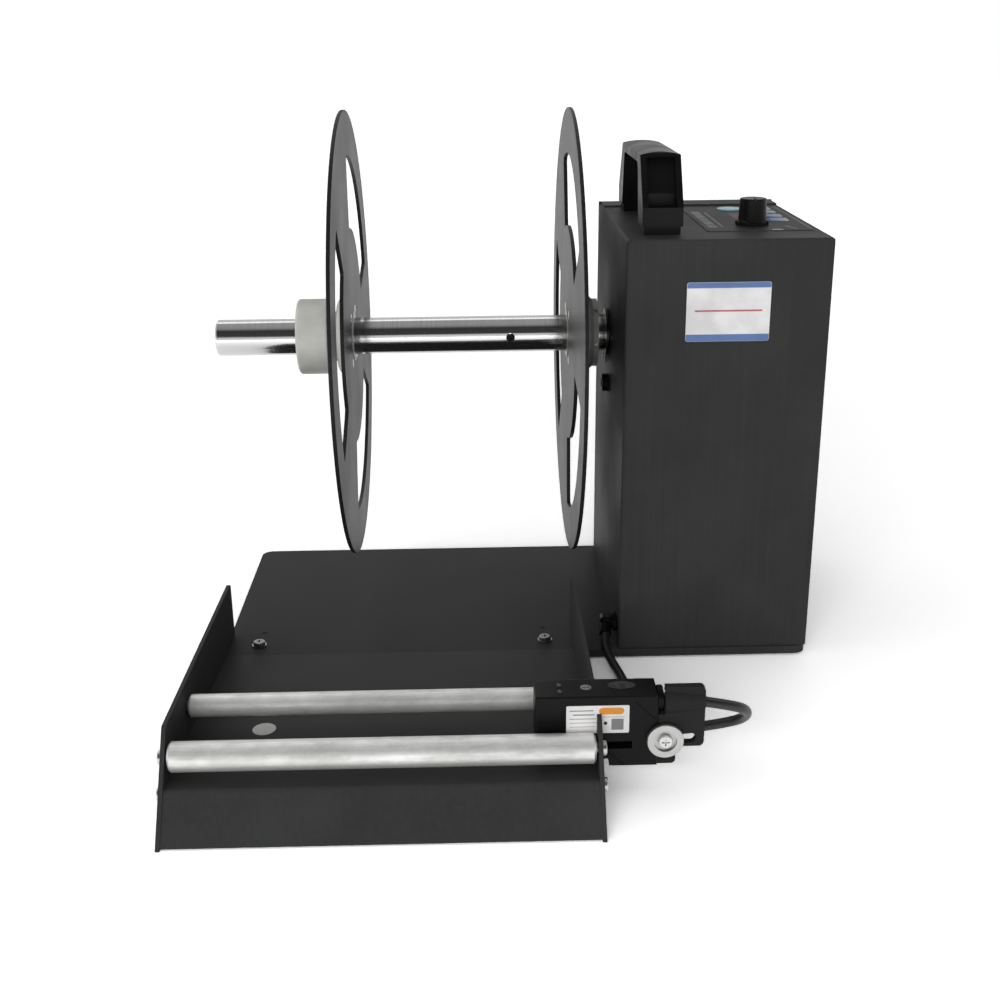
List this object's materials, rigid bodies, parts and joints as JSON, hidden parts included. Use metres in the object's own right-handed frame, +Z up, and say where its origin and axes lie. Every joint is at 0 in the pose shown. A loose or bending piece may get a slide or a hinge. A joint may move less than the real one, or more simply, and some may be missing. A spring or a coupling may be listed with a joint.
{
  "type": "bench label rewinder",
  "caption": "Motor-driven bench label rewinder: winding shaft with two flange discs, upright housing, and a roller tray with a fork label sensor.",
  "frame": {"origin": "centre of the base plate's outline, on the underside of its anti-slip mat", "axes": "+X to the right along the winding shaft towards the housing, +Y away from the operator, +Z up"},
  "size_m": [0.3958, 0.4642, 0.3495],
  "materials": {
    "black_sheet": "satin",
    "disc_paint": "satin",
    "mat_rubber": "matte",
    "screw_steel": "bright",
    "bare_steel": "satin",
    "shaft_chrome": "polished",
    "blued_steel": "satin",
    "nylon": "matte",
    "black_plastic": "satin",
    "roller_aluminium": "satin",
    "cast_aluminium": "matte",
    "bearing_steel": "polished",
    "motor_paint": "satin",
    "belt_rubber": "matte",
    "panel_film": "satin",
    "key_film": "satin",
    "round_blue": "satin",
    "display_red": "gloss",
    "board_green": "satin",
    "spacer_brass": "satin",
    "label_white": "matte",
    "lamp_clear": "gloss",
    "cable_black": "satin"
  },
  "bodies": {
    "frame_body": {"base_plate": "black_sheet", "anti_slip_mat": "mat_rubber", "base_screws": "screw_steel", "housing_shell": "black_sheet", "rear_cover": "black_sheet", "housing_screws": "screw_steel", "name_plate": "label_white", "bearing_blocks": "cast_aluminium", "bearings": "bearing_steel", "drive_screws": "screw_steel", "inner_wall": "bare_steel", "gear_motor": "motor_paint", "drive_belt": "belt_rubber", "control_panel": "panel_film", "display_window": "display_red", "panel_board": "board_green", "board_spacers": "spacer_brass", "potentiometer": "bare_steel", "carry_handle": "black_plastic", "signal_socket": "black_plastic", "cable_plug": "black_plastic", "power_inlet": "black_plastic", "rocker_frame": "black_plastic", "control_board": "board_green", "tray": "black_sheet", "left_wing": "black_sheet", "right_wing": "black_sheet", "roller_axles": "bare_steel", "wing_screws": "screw_steel", "tray_screws": "screw_steel", "sensor_arm": "black_sheet", "sensor_cable": "cable_black"},
    "winder": {"winding_shaft": "shaft_chrome", "shaft_clip": "blued_steel", "inner_disc": "disc_paint", "inner_hub": "nylon", "inner_hub_screws": "screw_steel", "drive_pulley": "cast_aluminium"},
    "outer_flange": {"outer_disc": "disc_paint", "outer_hub": "nylon", "outer_hub_screws": "screw_steel"},
    "motor_rotor": {"motor_shaft": "bare_steel", "motor_pulley": "cast_aluminium"},
    "front_roller": {"front_roller": "roller_aluminium"},
    "rear_roller": {"rear_roller": "roller_aluminium"},
    "sensor": {"sensor_body": "black_plastic", "sensor_window": "lamp_clear", "sensor_label": "label_white", "sensor_screw": "bare_steel", "sensor_ear": "black_sheet", "gland_nut": "black_plastic"},
    "clamp": {"clamp_wheel": "cast_aluminium", "clamp_screw": "screw_steel"},
    "knob": {"speed_knob": "black_plastic"},
    "first_key": {"key_first": "key_film"},
    "second_key": {"key_second": "key_film"},
    "third_key": {"key_third": "key_film"},
    "fourth_key": {"key_fourth": "key_film"},
    "round_button": {"round_key": "round_blue"},
    "rocker": {"power_rocker": "black_plastic"}
  },
  "joints": [
    {"name": "shaft_spin", "type": "hinge", "parent": "frame_body", "child": "winder", "pos_m": [0, 0.0106, 0.1995], "axis": [1, 0, 0], "continuous": true},
    {"name": "flange_slide", "type": "slide", "parent": "winder", "child": "outer_flange", "axis": [1, 0, 0], "range_m": [-0.045, 0.11]},
    {"name": "motor_spin", "type": "hinge", "parent": "frame_body", "child": "motor_rotor", "pos_m": [0, 0.0106, 0.095], "axis": [1, 0, 0], "continuous": true},
    {"name": "front_roller_spin", "type": "hinge", "parent": "frame_body", "child": "front_roller", "pos_m": [0, -0.269, 0.0357], "axis": [1, 0, 0], "continuous": true},
    {"name": "rear_roller_spin", "type": "hinge", "parent": "frame_body", "child": "rear_roller", "pos_m": [0, -0.214, 0.0363], "axis": [1, 0, 0], "continuous": true},
    {"name": "sensor_slide", "type": "slide", "parent": "frame_body", "child": "sensor", "axis": [1, 0, 0], "range_m": [-0.004, 0]},
    {"name": "clamp_turn", "type": "hinge", "parent": "frame_body", "child": "clamp", "pos_m": [0.0753, -0.26, 0.0352], "axis": [0, 1, 0], "range_deg": [-360, 0]},
    {"name": "speed_knob_turn", "type": "hinge", "parent": "frame_body", "child": "knob", "pos_m": [0.1555, -0.0345, 0.285], "axis": [0, 0, 1], "range_deg": [-150, 150]},
    {"name": "first_key_press", "type": "slide", "parent": "frame_body", "child": "first_key", "axis": [0, 0, -1], "range_m": [0, 0.0008], "stiffness_N_per_m": 300, "springref_m": -0.0012},
    {"name": "second_key_press", "type": "slide", "parent": "frame_body", "child": "second_key", "axis": [0, 0, -1], "range_m": [0, 0.0008], "stiffness_N_per_m": 300, "springref_m": -0.0012},
    {"name": "third_key_press", "type": "slide", "parent": "frame_body", "child": "third_key", "axis": [0, 0, -1], "range_m": [0, 0.0008], "stiffness_N_per_m": 300, "springref_m": -0.0012},
    {"name": "fourth_key_press", "type": "slide", "parent": "frame_body", "child": "fourth_key", "axis": [0, 0, -1], "range_m": [0, 0.0008], "stiffness_N_per_m": 300, "springref_m": -0.0012},
    {"name": "round_key_press", "type": "slide", "parent": "frame_body", "child": "round_button", "axis": [0, 0, -1], "range_m": [0, 0.0008], "stiffness_N_per_m": 300, "springref_m": -0.0012},
    {"name": "power_rocker_tilt", "type": "hinge", "parent": "frame_body", "child": "rocker", "pos_m": [0.1605, 0.0862, 0.047], "axis": [1, 0, 0], "range_deg": [-18, 0]}
  ],
  "couplings": [
    {"joint": "motor_spin", "follows": "shaft_spin", "ratio": 2.8333}
  ]
}
